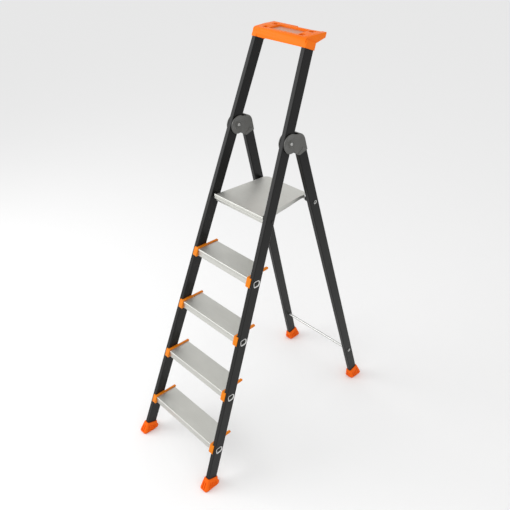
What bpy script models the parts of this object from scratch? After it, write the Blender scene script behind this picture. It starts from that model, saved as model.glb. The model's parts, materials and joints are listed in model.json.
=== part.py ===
"""Folding platform step ladder: four treads and a platform, rear support frame, tool tray.

Frame: +Z up, floor at z = 0, climbing side faces -Y, +X to the climber's right, origin on the
floor at the middle of the footprint.  Lengths below are millimetres and degrees.  Heights are above
the floor; y is measured back from the line where the stiles' front faces would meet the floor.
"""
import math

import bmesh
import bpy
from mathutils import Matrix, Vector

MM = 0.001
WELD = 1e-6                 # metres, for joining coincident points
FOOTPRINT_MIDDLE = 533.66   # y of the middle of the footprint, where the origin lies
SIDES = ((-1, "left"), (1, "right"))

# front frame
TILT = math.radians(20.02)          # stiles lean back from the vertical
HALF_FLOOR = 235.9                  # outer half width at the floor
TAPER = math.tan(math.radians(3.06))
STILE_W, STILE_D, STILE_R, STILE_WALL = 20.4, 48.4, 3.0, 1.5
STILE_TOP = 1890.0                  # along the stile
# rear frame
SPLAY = math.radians(16.81)
LEG_BASE_Y = 1039.7                 # leg centre line at the floor
LEG_HALF_FLOOR = 232.0
LEG_TAPER = math.tan(math.radians(2.95))
LEG_W, LEG_D, LEG_R, LEG_WALL = 20.4, 46.4, 3.0, 1.5
LEG_TOP = 1486.0                    # along the leg
# joints
HINGE_Y, HINGE_Z = 557.5, 1422.0
DECK_PIN_Y, DECK_PIN_Z = 452.0, 1136.0
PIN_R, PLAY = 4.0, 0.35
# treads: t runs back from the stile's front face, h up from the tread's top
TREAD_Z = (201.6, 441.6, 681.6, 921.6)
TREAD_FRONT, TREAD_BACK = -1.9, 102.0
BOX_BACK, BOX_LOW = 36.0, -35.5
PLATE_T, LIP_H = 3.0, 10.0
TREAD_END = 6.4                     # tread body stops this far inside the stile
TUBE = (4.0, 32.6, -34.0, -11.0)    # D tube through the stile: t0, t1, h0, h1
TUBE_ROUND = (6.0, 10.0, 9.0, 6.0)  # its corner radii, from the front low corner round
TUBE_WALL, FLANGE, FLANGE_T = 1.6, 2.8, 1.3
# tread end caps
CAP_WALL, CAP_IN, CAP_OVER, CAP_FRONT = 3.2, 11.0, 11.0, 4.2
CAP_HIGH, CAP_LOW, CAP_RAIL = 5.2, -34.0, 5.0
CAP_TAIL, TAIL_LOW, RAIL_IN = 109.0, -4.0, 11.5
CAP_SPLIT, CAP_CLEAR = 50.0, 2.4    # behind this the cap stands clear of the folded leg
# platform
DECK_Z = 1154.4
DECK_FRONT, DECK_REAR = 432.0, 708.6
DECK_HALF_F, DECK_HALF_R = 134.6, 120.2
DECK_T, DECK_CORNER, DECK_STRAIGHT = 2.2, 24.0, 40.0
SKIRT_F, SKIRT_R, HOOK = 31.0, 13.2, 22.0
NOSE_FRONT, NOSE_HALF, NOSE_H, NOSE_R = 426.6, 142.4, 22.5, 4.5
PIN_HEAD_R, PIN_CAP_R = 7.0, 6.5
BUSH_R = 9.0
# cross tubes of the rear frame
CROSS_R, CROSS_WALL, CROSS_FLARE = 6.0, 1.3, 8.6
REST_U, REST_D = 1184.7, 2.4
BRACE_U = 212.0
SLEEVE_R = 10.0
# joint covers, in axes behind and above the pivot along the leg
CHEEK_T, RIM_T, COVER_R1, COVER_R2 = 4.2, 3.0, 38.0, 46.0
COVER_C2 = (27.0, -20.0)
COVER_END = -66.7
COVER_GAP = 1.5                     # between a cheek and the leg
COVER_RIVET_U = 1452.0
# feet
FOOT_TOP, FOOT_SOLE = 57.0, 6.0
# tray
TRAY_TOP, TRAY_HALF = 1790.0, 133.0
SLEEVE_LOW, SLEEVE_T, SLEEVE_CORNER = 1866.0, 3.2, 4.5
POCKET_X, POCKET_HALF, POCKET_FLOOR = 92.0, 12.0, 1769.0
RECESS_FLOOR = 1779.5

SIN_T, COS_T = math.sin(TILT), math.cos(TILT)
SIN_S, COS_S = math.sin(SPLAY), math.cos(SPLAY)
LEG_LEVEL_HALF = LEG_HALF_FLOOR - LEG_TAPER * LEG_BASE_Y * SIN_S


# ---------------------------------------------------------------- places
def place(first, second, third, origin):
    """Matrix that sends a plate's own axes (millimetres) to these directions in the ladder."""
    cols = [Vector(v) * MM for v in (first, second, third)]
    base = Vector((origin[0], origin[1] - FOOTPRINT_MIDDLE, origin[2])) * MM
    rows = [[c[k] for c in cols] + [base[k]] for k in range(3)]
    return Matrix(rows + [[0, 0, 0, 1]])


def level_stile(side):
    """(y, z, inset): level outlines whose thickness runs inwards from the stile's outer face."""
    return place((-side * TAPER * SIN_T, 1, 0), (-side * TAPER * COS_T, 0, 1), (-side, 0, 0),
                 (side * HALF_FLOOR, 0, 0))


def level_leg(side):
    return place((side * LEG_TAPER * SIN_S, 1, 0), (-side * LEG_TAPER * COS_S, 0, 1), (-side, 0, 0),
                 (side * LEG_LEVEL_HALF, 0, 0))


def along_stile(side):
    """(inset, depth, along): sections of the stile, its length the third axis."""
    return place((-side, 0, 0), (0, COS_T, -SIN_T), (-side * TAPER, SIN_T, COS_T),
                 (side * HALF_FLOOR, 0, 0))


def along_leg(side):
    return place((-side, 0, 0), (0, COS_S, SIN_S), (-side * LEG_TAPER, -SIN_S, COS_S),
                 (side * LEG_HALF_FLOOR, LEG_BASE_Y, 0))


def crosswise(y=0.0, z=0.0, side=1):
    """(y, z, x): outlines seen from the side, their thickness across the ladder."""
    return place((0, 1, 0), (0, 0, 1), (side, 0, 0), (0, y, z))


LEVEL = place((1, 0, 0), (0, 1, 0), (0, 0, 1), (0, 0, 0))


def stile_x(y, z, inset=0.0):
    return HALF_FLOOR - TAPER * (y * SIN_T + z * COS_T) - inset


def leg_x(y, z, inset=0.0):
    return LEG_HALF_FLOOR - LEG_TAPER * ((LEG_BASE_Y - y) * SIN_S + z * COS_S) - inset


def leg_line(depth, along):
    """(y, z) of a point in the leg's side view."""
    return (LEG_BASE_Y - along * SIN_S + depth * COS_S, along * COS_S + depth * SIN_S)


def front_y(z):
    """y of the stiles' front face at height z."""
    return z * SIN_T / COS_T


# ---------------------------------------------------------------- scene helpers
def new_collection(name):
    col = bpy.data.collections.new(name)
    bpy.context.scene.collection.children.link(col)
    return col


def material(name, colour, rough, metal):
    mat = bpy.data.materials.new(name)
    mat.use_nodes = True
    shader = mat.node_tree.nodes["Principled BSDF"]
    shader.inputs["Base Color"].default_value = (*colour, 1.0)
    shader.inputs["Roughness"].default_value = rough
    shader.inputs["Metallic"].default_value = metal
    mat.diffuse_color = (*colour, 1.0)
    mat.roughness, mat.metallic = rough, metal
    return mat


def scratch(name, data):
    """Helper object for one operation, kept out of the model."""
    obj = bpy.data.objects.new(name, data)
    obj.hide_render, obj.display_type = True, "WIRE"
    cutters.objects.link(obj)
    return obj


def baked(obj):
    """Mesh of a helper object with its modifiers applied; the helper is removed."""
    graph = bpy.context.evaluated_depsgraph_get()
    graph.update()
    mesh = bpy.data.meshes.new_from_object(obj.evaluated_get(graph))
    bpy.data.objects.remove(obj)
    return mesh


def welded(mesh, where):
    """Mesh moved into place, its doubles merged and its faces turned outwards."""
    mesh.transform(where)
    bm = bmesh.new()
    bm.from_mesh(mesh)
    bmesh.ops.remove_doubles(bm, verts=bm.verts, dist=WELD)
    bmesh.ops.recalc_face_normals(bm, faces=bm.faces)
    bm.to_mesh(mesh)
    bm.free()
    return mesh


def plate(outlines, start, stop, where):
    """Flat outline with any holes, thick from start to stop along its third axis."""
    curve = bpy.data.curves.new("outline", "CURVE")
    curve.dimensions, curve.fill_mode = "2D", "BOTH"
    curve.extrude = (stop - start) / 2
    for outline in outlines:
        spline = curve.splines.new("POLY")
        spline.points.add(len(outline) - 1)
        for point, (a, b) in zip(spline.points, outline):
            point.co = (a, b, 0.0, 1.0)
        spline.use_cyclic_u = True
    mesh = baked(scratch("outline", curve))
    return welded(mesh, where @ Matrix.Translation((0, 0, (start + stop) / 2)))


def turned(rows, where, steps=24, closed=False):
    """Profile of (distance along the axis, radius) rows turned about the third axis."""
    mesh = bpy.data.meshes.new("profile")
    links = [(k, k + 1) for k in range(len(rows) - 1)]
    if closed:
        links.append((len(rows) - 1, 0))
    mesh.from_pydata([(r, 0.0, x) for x, r in rows], links, [])
    obj = scratch("profile", mesh)
    mod = obj.modifiers.new("turn", "SCREW")
    mod.steps = mod.render_steps = steps
    mod.use_merge_vertices, mod.merge_threshold = True, 0.0001
    return welded(baked(obj), where)


def rod(y, z, radius, x0, x1, steps=24):
    """Cylinder across the ladder, used to drill holes."""
    bm = bmesh.new()
    bmesh.ops.create_cone(bm, cap_ends=True, segments=steps, radius1=radius, radius2=radius, depth=x1 - x0)
    mesh = bpy.data.meshes.new("rod")
    bm.to_mesh(mesh)
    bm.free()
    return welded(mesh, crosswise(y, z) @ Matrix.Translation((0, 0, (x0 + x1) / 2)))


def box(low, high):
    bm = bmesh.new()
    bmesh.ops.create_cube(bm, size=1.0)
    mesh = bpy.data.meshes.new("box")
    bm.to_mesh(mesh)
    bm.free()
    size, middle = [b - a for a, b in zip(low, high)], [(a + b) / 2 for a, b in zip(low, high)]
    return welded(mesh, LEVEL @ Matrix.Translation(middle) @ Matrix.Diagonal((*size, 1)))


def carve(mesh, tools, operation):
    """Exact Boolean of a mesh with each tool mesh in turn; the tools are used up."""
    base = scratch("base", mesh)
    helpers = [scratch("tool", tool) for tool in tools]
    for obj in helpers:
        mod = base.modifiers.new("carve", "BOOLEAN")
        mod.operation, mod.solver, mod.object = operation, "EXACT", obj
    result = baked(base)
    for obj in helpers:
        bpy.data.objects.remove(obj)
    bm = bmesh.new()
    bm.from_mesh(result)
    bmesh.ops.remove_doubles(bm, verts=bm.verts, dist=2 * WELD)
    bmesh.ops.dissolve_degenerate(bm, dist=WELD, edges=bm.edges)
    bm.to_mesh(result)
    bm.free()
    return result


def finish(name, mesh, mat, parent, smooth=30.0):
    """Place a finished mesh as an object whose origin is the middle of its own extent."""
    low = Vector([min(v.co[i] for v in mesh.vertices) for i in range(3)])
    high = Vector([max(v.co[i] for v in mesh.vertices) for i in range(3)])
    centre = (low + high) / 2
    mesh.transform(Matrix.Translation(-centre))
    mesh.name = name
    mesh.materials.clear()
    mesh.materials.append(mat)
    mesh.shade_smooth()
    mesh.set_sharp_from_angle(angle=math.radians(smooth))
    obj = bpy.data.objects.new(name, mesh)
    parts.objects.link(obj)
    obj.parent = parent
    obj.location = centre - parent.location
    return obj


def empty(name, y, z):
    obj = bpy.data.objects.new(name, None)
    obj.empty_display_size = 0.05
    parts.objects.link(obj)
    obj.location = crosswise(y, z).translation
    return obj


# ---------------------------------------------------------------- outlines
def arc(ca, cb, r, start, stop, steps):
    turn = [math.radians(start + (stop - start) * k / steps) for k in range(steps + 1)]
    return [(ca + r * math.cos(t), cb + r * math.sin(t)) for t in turn]


def rounded(a0, a1, b0, b1, radii, steps=4):
    """Rounded rectangle, counter-clockwise from the low corner; one radius or one per corner."""
    if not isinstance(radii, (tuple, list)):
        radii = (radii,) * 4
    r0, r1, r2, r3 = radii
    return (arc(a0 + r0, b0 + r0, r0, 180, 270, steps) + arc(a1 - r1, b0 + r1, r1, 270, 360, steps)
            + arc(a1 - r2, b1 - r2, r2, 0, 90, steps) + arc(a0 + r3, b1 - r3, r3, 90, 180, steps))


def shifted(outline, dy, dz):
    return [(t + dy, h + dz) for t, h in outline]


def tube_outline(grow=0.0):
    t0, t1, h0, h1 = TUBE
    return rounded(t0 - grow, t1 + grow, h0 - grow, h1 + grow,
                   [r + grow for r in TUBE_ROUND], 5)


def tread_outline():
    """Box section under the nose, plate running back, turned-down rear lip."""
    pts = arc(TREAD_FRONT + 3, BOX_LOW + 3, 3, 180, 270, 3)
    pts += arc(BOX_BACK - 14, BOX_LOW + 14, 14, 270, 360, 5)
    pts += [(BOX_BACK, -PLATE_T), (TREAD_BACK - 3, -PLATE_T), (TREAD_BACK - 3, -LIP_H),
            (TREAD_BACK, -LIP_H)]
    pts += arc(TREAD_BACK - 1.5, -1.5, 1.5, 0, 90, 2)
    pts += arc(TREAD_FRONT + 2, -2, 2, 90, 180, 3)
    return pts


def across(outline, z, inset):
    """Bar from stile to stile at height z, its ends cut to the plane `inset` inside the outer faces."""
    reach = HALF_FLOOR + 20.0
    mesh = plate([shifted(outline, front_y(z), z)], -reach, reach, crosswise())
    bm = bmesh.new()
    bm.from_mesh(mesh)
    for side, _ in SIDES:
        geom = bm.verts[:] + bm.edges[:] + bm.faces[:]
        cut = bmesh.ops.bisect_plane(bm, geom=geom, clear_outer=True,
                                     plane_co=(side * (HALF_FLOOR - inset) * MM, -FOOTPRINT_MIDDLE * MM, 0),
                                     plane_no=(side, TAPER * SIN_T, TAPER * COS_T))
        rim = [e for e in cut["geom_cut"] if isinstance(e, bmesh.types.BMEdge)]
        bmesh.ops.contextual_create(bm, geom=rim)
    bmesh.ops.recalc_face_normals(bm, faces=bm.faces)
    bm.to_mesh(mesh)
    bm.free()
    return mesh


# ---------------------------------------------------------------- front frame
def build_stile(side, name, mat, parent):
    """Rectangular tube, cut level inside its foot, drilled for the tread tubes and both pivots."""
    sections = [rounded(inset, STILE_W - inset, inset, STILE_D - inset, r)
                for inset, r in ((0.0, STILE_R), (STILE_WALL, STILE_R - 1.2))]
    mesh = plate(sections, 0.0, STILE_TOP, along_stile(side))
    tools = [box((-300, -60, -60), (300, 120, FOOT_SOLE + 2))]
    for z in TREAD_Z:
        socket = shifted(tube_outline(PLAY), front_y(z), z)
        tools.append(plate([socket], -4, STILE_W + 4, level_stile(side)))
    for y, z in ((HINGE_Y, HINGE_Z), (DECK_PIN_Y, DECK_PIN_Z)):
        tools.append(rod(y, z, PIN_R + PLAY, *sorted((side * 100, side * 200))))
    return finish(name, carve(mesh, tools, "DIFFERENCE"), mat, parent)


def build_tread(index, z, mat, parent):
    body = across(tread_outline(), z, STILE_W + TREAD_END)
    tube = across(tube_outline(), z, 0.2 - PLAY - FLANGE_T)
    flange = shifted(tube_outline(FLANGE), front_y(z), z)
    flanges = [plate([flange], -PLAY - FLANGE_T, -PLAY, level_stile(side)) for side, _ in SIDES]
    mesh = carve(body, [tube] + flanges, "UNION")
    mesh = carve(mesh, [across(tube_outline(-TUBE_WALL), z, -6)], "DIFFERENCE")
    return finish("tread_%d" % index, mesh, mat, parent)


def sloping(h, proud):
    """t of a face parallel to the stile's front, standing proud of it, at height h."""
    return h * SIN_T / COS_T - proud / COS_T


def build_cap(index, z, side, label, mat, parent):
    """End cap: wall and rail along the tread's end, tail behind, block in front wrapping the stile."""
    inner = STILE_W + PLAY
    clear = inner + CAP_CLEAR
    wall = [(-3.0, CAP_RAIL), (-3.0, -3.0), (40.0, -3.0), (44.0, -LIP_H - 1), (CAP_SPLIT, -LIP_H - 1),
            (CAP_SPLIT, CAP_RAIL)]
    tail = [(CAP_SPLIT - 2, CAP_RAIL - 0.2), (CAP_SPLIT - 2, TAIL_LOW), (CAP_TAIL - 2, TAIL_LOW),
            (CAP_TAIL, TAIL_LOW + 2), (CAP_TAIL, CAP_RAIL - 1.5), (CAP_TAIL - 1.5, CAP_RAIL - 0.2)]
    rail = [(-2.5, 0.4), (CAP_SPLIT - 1, 0.4), (CAP_SPLIT - 1, CAP_RAIL - 0.4), (-2.5, CAP_RAIL - 0.4)]
    end_rail = [(CAP_SPLIT - 1.6, 0.5), (TREAD_BACK + 0.4, 0.5), (TREAD_BACK + 0.4, TAIL_LOW + 0.3),
                (CAP_TAIL - 2.2, TAIL_LOW + 0.3), (CAP_TAIL - 0.3, TAIL_LOW + 2.5),
                (CAP_TAIL - 0.3, CAP_RAIL - 2), (CAP_TAIL - 2, CAP_RAIL - 0.5),
                (CAP_SPLIT - 1.6, CAP_RAIL - 0.5)]
    block = [(sloping(CAP_LOW + 6, CAP_FRONT), CAP_LOW + 6), (sloping(CAP_LOW, CAP_FRONT - 3), CAP_LOW),
             (TREAD_FRONT - 0.4, CAP_LOW), (TREAD_FRONT - 0.4, -1.0),
             (TREAD_FRONT + 0.6, 0.45), (6.0, 0.45), (6.0, CAP_RAIL - 0.7), (3.0, CAP_HIGH),
             (sloping(CAP_HIGH, CAP_FRONT - 2), CAP_HIGH), (sloping(CAP_HIGH - 3, CAP_FRONT), CAP_HIGH - 3)]
    low, high = CAP_LOW + 1, CAP_HIGH - 1
    wrap = [(sloping(low + 6, CAP_FRONT - 0.2), low + 6), (sloping(low, CAP_FRONT - 2.4), low),
            (sloping(low, PLAY), low), (sloping(high, PLAY), high),
            (sloping(high, CAP_FRONT - 2), high), (sloping(high - 3, CAP_FRONT - 0.2), high - 3)]
    layers = ((block, inner + 0.2, inner + CAP_IN), (wall, inner, inner + CAP_WALL),
              (rail, inner + 0.5, inner + RAIL_IN), (wrap, inner - CAP_OVER, inner + 3.0),
              (tail, clear, clear + CAP_WALL), (end_rail, clear + 0.4, inner + RAIL_IN - 0.2))
    pieces = [plate([shifted(outline, front_y(z), z)], start, stop, level_stile(side))
              for outline, start, stop in layers]
    mesh = carve(pieces[0], pieces[1:], "UNION")
    return finish("tread_cap_%d_%s" % (index, label), mesh, mat, parent)


# ---------------------------------------------------------------- feet
def boot(sections, where, name, mat, parent):
    """Moulded foot lofted through unlike sections, from the sole up and back down the cavity."""
    bm = bmesh.new()
    rings = [[bm.verts.new(where @ Vector(p)) for p in section] for section in sections]
    count = len(rings[0])
    for low, high in zip(rings, rings[1:]):
        for i in range(count):
            k = (i + 1) % count
            bm.faces.new((low[i], low[k], high[k], high[i]))
    bm.faces.new(rings[0])
    bm.faces.new(rings[-1])
    bmesh.ops.recalc_face_normals(bm, faces=bm.faces)
    mesh = bpy.data.meshes.new(name)
    bm.to_mesh(mesh)
    bm.free()
    return finish(name, mesh, mat, parent)


def boot_sections(width, depth, back, top, height_at):
    """Outlines of a foot; `back` is where the tube's front face lies in its depth axis."""
    def ring(grow, radius, level, toe=0.0, heel=0.0):
        pts = rounded(-grow, width + grow, back - grow - toe, back + depth + grow + heel, radius)
        return [(a, b, level(b) if callable(level) else level) for a, b in pts]

    def floor(z):
        return lambda b: height_at(z, b)
    return [ring(7.0, 9, floor(0.0), -6, -4), ring(10.4, 10, floor(1.2), -2, 1),
            ring(12.0, 10, floor(5.0), 0, 3.2), ring(11.6, 10, floor(12.0), 0.5, 3.5),
            ring(7.0, 7, top - 14, 0, 0.5), ring(4.6, 5, top - 1.5), ring(3.6, 4.5, top),
            ring(PLAY, STILE_R, top), ring(PLAY, STILE_R, floor(FOOT_SOLE + 1))]


def build_front_foot(side, name, mat, parent):
    sections = boot_sections(STILE_W, STILE_D, 0.0, FOOT_TOP, lambda z, d: (z + d * SIN_T) / COS_T)
    return boot(sections, along_stile(side), name, mat, parent)


def build_rear_foot(side, name, mat, parent):
    sections = boot_sections(LEG_W, LEG_D, -LEG_D / 2, FOOT_TOP + 2, lambda z, d: (z - d * SIN_S) / COS_S)
    return boot(sections, along_leg(side), name, mat, parent)


# ---------------------------------------------------------------- turned pieces
def build_rivet(side, name, y, z, head_r, dome, mat, parent):
    """Pin through both cheeks of a joint cover with a domed head at each end."""
    stand = COVER_GAP + CHEEK_T + 0.7
    out, inn = leg_x(y, z, -stand), leg_x(y, z, LEG_W + stand)
    rows = [(out + dome, 0.0), (out + dome, head_r * 0.45), (out + dome * 0.75, head_r * 0.8), (out, head_r),
            (out, PIN_R), (inn, PIN_R), (inn, head_r), (inn - dome * 0.75, head_r * 0.8),
            (inn - dome, head_r * 0.45), (inn - dome, 0.0)]
    return finish(name, turned(rows, crosswise(y, z, side)), mat, parent)


def build_cross_tube(name, along, depth, mat, parent):
    """Round tube through both rear legs, its ends flared over the outer faces."""
    y, z = leg_line(depth, along)
    x = leg_x(y, z) + 0.6
    r, f, w = CROSS_R, CROSS_FLARE, CROSS_WALL
    rows = [(-x - 1.6, f), (-x, f), (-x, r), (x, r), (x, f), (x + 1.6, f),
            (x + 1.2, r - w + 0.8), (x - 1.0, r - w), (-x + 1.0, r - w), (-x - 1.2, r - w + 0.8)]
    return finish(name, turned(rows, crosswise(y, z), 32, closed=True), mat, parent)


def build_bush(side, name, y, z, x0, x1, r_in, r_out, mat, parent):
    rows = [(x0, r_out), (x1, r_out), (x1, r_in), (x0, r_in)]
    return finish(name, turned(rows, crosswise(y, z, side), 28, closed=True), mat, parent)


def deck_half(y):
    """Half width of the deck at y."""
    return DECK_HALF_F - (DECK_HALF_F - DECK_HALF_R) * (y - DECK_FRONT) / (DECK_REAR - DECK_FRONT)


def build_deck_pin(side, name, mat, parent):
    """Pin from a cap on the stile's outer face, through the bush, to a head inside the skirt."""
    out = stile_x(DECK_PIN_Y, DECK_PIN_Z)
    inn = deck_half(DECK_PIN_Y) - DECK_T - 1.6
    rows = [(out + 2.4, 0.0), (out + 2.4, PIN_R), (out + 2.0, PIN_HEAD_R - 0.4), (out + 0.6, PIN_HEAD_R),
            (out + 0.6, PIN_R), (inn, PIN_R), (inn, PIN_CAP_R), (inn - 3.0, PIN_CAP_R), (inn - 3.0, 0.0)]
    return finish(name, turned(rows, crosswise(DECK_PIN_Y, DECK_PIN_Z, side)), mat, parent)


# ---------------------------------------------------------------- rear frame
def build_leg(side, name, mat, parent):
    """Rectangular tube, cut level inside its foot, drilled for both cross tubes and the cover's rivet."""
    half = LEG_D / 2
    sections = [rounded(inset, LEG_W - inset, -half + inset, half - inset, r)
                for inset, r in ((0.0, LEG_R), (LEG_WALL, LEG_R - 1.2))]
    mesh = plate(sections, -40.0, LEG_TOP, along_leg(side))
    tools = [box((-300, 900, -80), (300, 1200, FOOT_SOLE + 2))]
    for along, depth, r in ((REST_U, REST_D, CROSS_R), (BRACE_U, 0.0, CROSS_R), (COVER_RIVET_U, 0.0, PIN_R)):
        tools.append(rod(*leg_line(depth, along), r + PLAY, *sorted((side * 100, side * 260)), 32))
    return finish(name, carve(mesh, tools, "DIFFERENCE"), mat, parent)


def about_pivot(outline):
    """Outline in (behind, above) the pivot along the leg's axes to (y, z)."""
    return [(HINGE_Y + a * COS_S - b * SIN_S, HINGE_Z + a * SIN_S + b * COS_S) for a, b in outline]


def cover_outline():
    """Comma shape: a small round about the pivot, a larger one behind, a straight end over the leg."""
    ca, cb = COVER_C2
    tangent = math.degrees(math.atan2(cb, ca) + math.acos((COVER_R2 - COVER_R1) / math.hypot(ca, cb)))
    pts = [(27.4, COVER_END), (ca + COVER_R2 - 0.6, COVER_END)]
    pts += arc(ca, cb, COVER_R2, 0, tangent, 8)
    pts += arc(0, 0, COVER_R1, tangent, 262, 22)
    return pts + [(5.2, -36.5), (9.9, -51.0)]


def build_cheek(side, inner, name, mat, parent):
    """One shell of the joint cover: cheek plate and half of the rim over the leg's end."""
    if inner:
        start, stop = LEG_W + COVER_GAP, LEG_W + COVER_GAP + CHEEK_T
        rim_start, rim_stop = LEG_W / 2 + 0.15, start + 0.5
    else:
        start, stop = -COVER_GAP - CHEEK_T, -COVER_GAP
        rim_start, rim_stop = stop - 0.5, LEG_W / 2 - 0.15
    cheek = plate([about_pivot(cover_outline())], start, stop, level_leg(side))
    r_out, r_in = COVER_R2 - 0.5, COVER_R2 - 0.5 - RIM_T
    band = arc(*COVER_C2, r_out, 12, 64, 10) + arc(*COVER_C2, r_in, 64, 12, 10)
    rim = plate([about_pivot(band)], rim_start, rim_stop, level_leg(side))
    mesh = carve(cheek, [rim], "UNION")
    drills = [rod(y, z, PIN_R + PLAY, *sorted((side * 100, side * 200)))
              for y, z in ((HINGE_Y, HINGE_Z), leg_line(0.0, COVER_RIVET_U))]
    return finish(name, carve(mesh, drills, "DIFFERENCE"), mat, parent)


# ---------------------------------------------------------------- platform
def deck_outline():
    """Plan of the deck: tapering sides, rounded rear corners."""
    hf, hr, r, y1 = DECK_HALF_F, DECK_HALF_R, DECK_CORNER, DECK_REAR
    middle = (DECK_FRONT + DECK_REAR) / 2
    right = [(hf, DECK_FRONT), ((hf + hr) / 2, middle), (hr, y1 - DECK_STRAIGHT)]
    right += arc(hr - r, y1 - r, r, 0, 90, 6) + [(hr - r - 8, y1)]
    return right + [(-x, y) for x, y in reversed(right)]


def skirt_low(x, y):
    """Height of the skirt's lower edge: shallower to the rear, deep again at the rear flange."""
    if y > DECK_REAR - 4 and abs(x) < DECK_HALF_R - DECK_CORNER - 5:
        return DECK_Z - HOOK
    run = (y - DECK_FRONT) / (DECK_REAR - DECK_FRONT - DECK_STRAIGHT)
    return DECK_Z - (SKIRT_F + (SKIRT_R - SKIRT_F) * min(1.0, run))


def build_deck(mat, parent):
    """Pressed deck: flat top with skirts turned down all round, drilled for the pins."""
    bm = bmesh.new()
    top = bm.faces.new([bm.verts.new((x, y, DECK_Z)) for x, y in deck_outline()])
    skirt = bmesh.ops.extrude_edge_only(bm, edges=top.edges[:])["geom"]
    for v in skirt:
        if isinstance(v, bmesh.types.BMVert):
            v.co.z = skirt_low(v.co.x, v.co.y)
    bmesh.ops.recalc_face_normals(bm, faces=bm.faces)
    mesh = bpy.data.meshes.new("deck")
    bm.to_mesh(mesh)
    bm.free()
    shell = scratch("deck", mesh)
    mod = shell.modifiers.new("sheet", "SOLIDIFY")
    mod.thickness, mod.offset, mod.use_even_offset = DECK_T, -1.0, True
    mesh = welded(baked(shell), LEVEL)
    mesh = carve(mesh, [rod(DECK_PIN_Y, DECK_PIN_Z, PIN_R + PLAY, -160, 160)], "DIFFERENCE")
    return finish("platform_deck", mesh, mat, parent)


def build_nose(mat, parent):
    """Nosing bar across the front edge of the deck, rounded in front."""
    y0, y1, top = NOSE_FRONT, DECK_FRONT - PLAY, DECK_Z + 0.6
    low = top - NOSE_H
    outline = arc(y0 + NOSE_R, top - NOSE_R, NOSE_R, 90, 180, 5)
    outline += [(y0 + 0.6, low + 10), (y0 + 1.4, low + 1.5), (y0 + 2.6, low), (y1, low), (y1, top)]
    return finish("platform_nosing", plate([outline], -NOSE_HALF, NOSE_HALF, crosswise()), mat, parent)


# ---------------------------------------------------------------- tray
def tray_cuts():
    """Sockets for the stiles, four pockets, the insert's recess and the step in the rear rim."""
    cuts = []
    for side, _ in SIDES:
        socket = rounded(-PLAY, STILE_W + PLAY, -PLAY, STILE_D + PLAY, STILE_R)
        cuts.append(plate([socket], SLEEVE_LOW - 20.0, STILE_TOP + PLAY, along_stile(side)))
        for y, half_y in ((669.0, 10.0), (722.0, 12.0)):
            x = side * POCKET_X
            pocket = rounded(x - POCKET_HALF, x + POCKET_HALF, y - half_y, y + half_y, 5)
            cuts.append(plate([pocket], POCKET_FLOOR, TRAY_TOP + 10, LEVEL))
    recess = rounded(-74.0, 74.0, 664.0, 728.0, 8)
    cuts.append(plate([recess], RECESS_FLOOR, TRAY_TOP + 10, LEVEL))
    low_rim = [(-8.0, 1800.0), (-6.0, 1784.5), (112.0, 1788.0), (118.0, 1800.0)]
    facing_back = place((1, 0, 0), (0, 0, 1), (0, 1, 0), (0, 0, 0))
    cuts.append(plate([low_rim], 742.0, 760.0, facing_back))
    return cuts


def build_tray(mat, parent):
    """Moulded tool tray carried on the stile tops by two sleeves."""
    profile = [(640.0, 1753.0), (640.0, 1776.0), (643.0, 1783.0), (650.0, 1787.0),
               (700.0, TRAY_TOP), (753.5, TRAY_TOP), (755.0, 1787.0), (750.0, 1771.0),
               (690.0, 1757.0), (690.0, 1746.0), (684.5, 1746.0), (684.5, 1753.0)]
    body = plate([profile], -TRAY_HALF, TRAY_HALF, crosswise())
    t = SLEEVE_T
    outline = rounded(-t, STILE_W + t, -t, STILE_D + t, SLEEVE_CORNER)
    sleeves = [plate([outline], SLEEVE_LOW, STILE_TOP + 4.0, along_stile(side)) for side, _ in SIDES]
    mesh = carve(body, sleeves, "UNION")
    return finish("tool_tray", carve(mesh, tray_cuts(), "DIFFERENCE"), mat, parent)


def build_insert(mat, parent):
    outline = rounded(-73.0, 73.0, 665.0, 727.0, 7)
    mesh = plate([outline], RECESS_FLOOR + 0.3, RECESS_FLOOR + 3.5, LEVEL)
    return finish("tray_magnet_plate", mesh, mat, parent)


# ---------------------------------------------------------------- assembly
for stale in list(bpy.data.objects):
    bpy.data.objects.remove(stale)
parts = new_collection("step_ladder")
cutters = new_collection("cutters")

black = material("black_anodised_aluminium", (0.012, 0.012, 0.012), 0.42, 0.35)
silver = material("satin_aluminium", (0.60, 0.60, 0.58), 0.34, 1.0)
bright = material("polished_flared_aluminium", (0.72, 0.72, 0.72), 0.25, 1.0)
orange = material("orange_moulded_plastic", (0.85, 0.16, 0.012), 0.42, 0.0)
grey = material("grey_moulded_plastic", (0.125, 0.125, 0.115), 0.45, 0.0)
plastic = material("black_plastic", (0.015, 0.015, 0.015), 0.55, 0.0)
steel = material("zinc_plated_steel", (0.35, 0.35, 0.34), 0.35, 1.0)
magnet = material("magnet_plate_steel", (0.50, 0.33, 0.28), 0.40, 0.6)

front = empty("front_frame", 0.0, 0.0)
rear = empty("rear_frame_hinge", HINGE_Y, HINGE_Z)
deck = empty("platform_hinge", DECK_PIN_Y, DECK_PIN_Z)

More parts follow.
